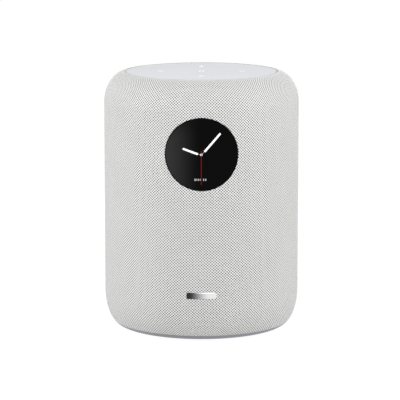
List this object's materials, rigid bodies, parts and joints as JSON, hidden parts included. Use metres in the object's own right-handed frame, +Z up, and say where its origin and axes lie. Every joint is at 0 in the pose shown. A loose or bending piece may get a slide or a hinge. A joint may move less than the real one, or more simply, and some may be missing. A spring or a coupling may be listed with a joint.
{
  "type": "smart speaker",
  "caption": "Upright fabric-covered cylindrical smart speaker with a round curved display at the front and a touch plate on top.",
  "frame": {"origin": "centre of the face it stands on", "axes": "+Z up along the body, -Y towards the display at the front, +X to the right seen from the front"},
  "size_m": [0.146, 0.1464, 0.193],
  "materials": {
    "fabric": "knitted, matte",
    "grille": "moulded",
    "base": "satin",
    "foot_rubber": "matte",
    "badge_metal": "polished",
    "top_plastic": "satin",
    "icon_white": "satin",
    "light_guide": "frosted",
    "circuit_board": "solder mask",
    "component": "mixed",
    "dark_plastic": "moulded",
    "display_glass": "polished",
    "foam": "foam",
    "display_black": "gloss",
    "rear_plastic": "satin",
    "pin_metal": "plated",
    "contact_metal": "plated",
    "button_plastic": "satin",
    "wool": "loose wool",
    "steel": "zinc plated",
    "magnet": "ferrite",
    "coil": "wound wire",
    "paper": "pulp",
    "roll_rubber": "satin",
    "spider_cloth": "impregnated cloth",
    "dome_silk": "coated silk",
    "heat_sink": "anodised",
    "antenna": "foil",
    "lead": "insulated wire",
    "ribbon": "flexible flat cable"
  },
  "bodies": {
    "body": {"fabric_sleeve": "fabric", "grille_basket": "grille", "base_shell": "base", "rubber_foot": "foot_rubber", "front_badge": "badge_metal", "top_plate": "top_plastic", "touch_icons": "icon_white", "icon_light_guide": "light_guide", "touch_board": "circuit_board", "icon_leds": "component", "microphones": "component", "top_frame": "dark_plastic", "display_glass": "display_glass", "display_gasket": "foam", "display_panel": "display_black", "display_board": "circuit_board", "display_housing": "dark_plastic", "rear_panel": "rear_plastic", "power_inlet": "dark_plastic", "inlet_pins": "pin_metal", "ethernet_jack": "dark_plastic", "ethernet_contacts": "contact_metal", "aux_jack": "dark_plastic", "pair_switch": "dark_plastic", "mic_switch": "dark_plastic", "io_board": "circuit_board", "cabinet_body": "dark_plastic", "cabinet_lid": "dark_plastic", "cabinet_seal": "foam", "damping_pad": "wool", "woofer_basket": "steel", "woofer_front_plate": "steel", "woofer_magnet": "magnet", "woofer_yoke": "steel", "woofer_surround": "roll_rubber", "woofer_spider": "spider_cloth", "woofer_gasket": "foam", "tweeter_left_frame": "dark_plastic", "tweeter_left_motor": "steel", "tweeter_right_frame": "dark_plastic", "tweeter_right_motor": "steel", "upper_frame": "dark_plastic", "main_board": "circuit_board", "heat_sink": "heat_sink", "power_supply_board": "circuit_board", "power_supply_parts": "component", "wifi_antennas": "antenna", "internal_leads": "lead", "ribbon_cables": "ribbon", "case_screws": "steel", "driver_screws": "steel", "board_screws": "steel"},
    "woofer_moving": {"woofer_cone": "paper", "woofer_dust_cap": "paper", "woofer_voice_coil": "coil"},
    "tweeter_left_moving": {"tweeter_left_dome": "dome_silk"},
    "tweeter_right_moving": {"tweeter_right_dome": "dome_silk"},
    "pair_button": {"pair_button": "button_plastic"},
    "mic_slider": {"mic_slider": "button_plastic"}
  },
  "joints": [
    {"name": "woofer_stroke", "type": "slide", "parent": "body", "child": "woofer_moving", "axis": [0, -1, 0], "range_m": [-0.004, 0.004], "stiffness_N_per_m": 1500, "deforming": ["woofer_surround", "woofer_spider"]},
    {"name": "tweeter_left_stroke", "type": "slide", "parent": "body", "child": "tweeter_left_moving", "axis": [-0.8829, -0.4695, 0], "range_m": [-0.0004, 0.0004], "stiffness_N_per_m": 2000},
    {"name": "tweeter_right_stroke", "type": "slide", "parent": "body", "child": "tweeter_right_moving", "axis": [0.8829, -0.4695, 0], "range_m": [-0.0004, 0.0004], "stiffness_N_per_m": 2000},
    {"name": "pair_button_press", "type": "slide", "parent": "body", "child": "pair_button", "axis": [0, -1, 0], "range_m": [0, 0.0006], "stiffness_N_per_m": 1500},
    {"name": "mic_slider_slide", "type": "slide", "parent": "body", "child": "mic_slider", "axis": [1, 0, 0], "range_m": [0, 0.0026]}
  ]
}
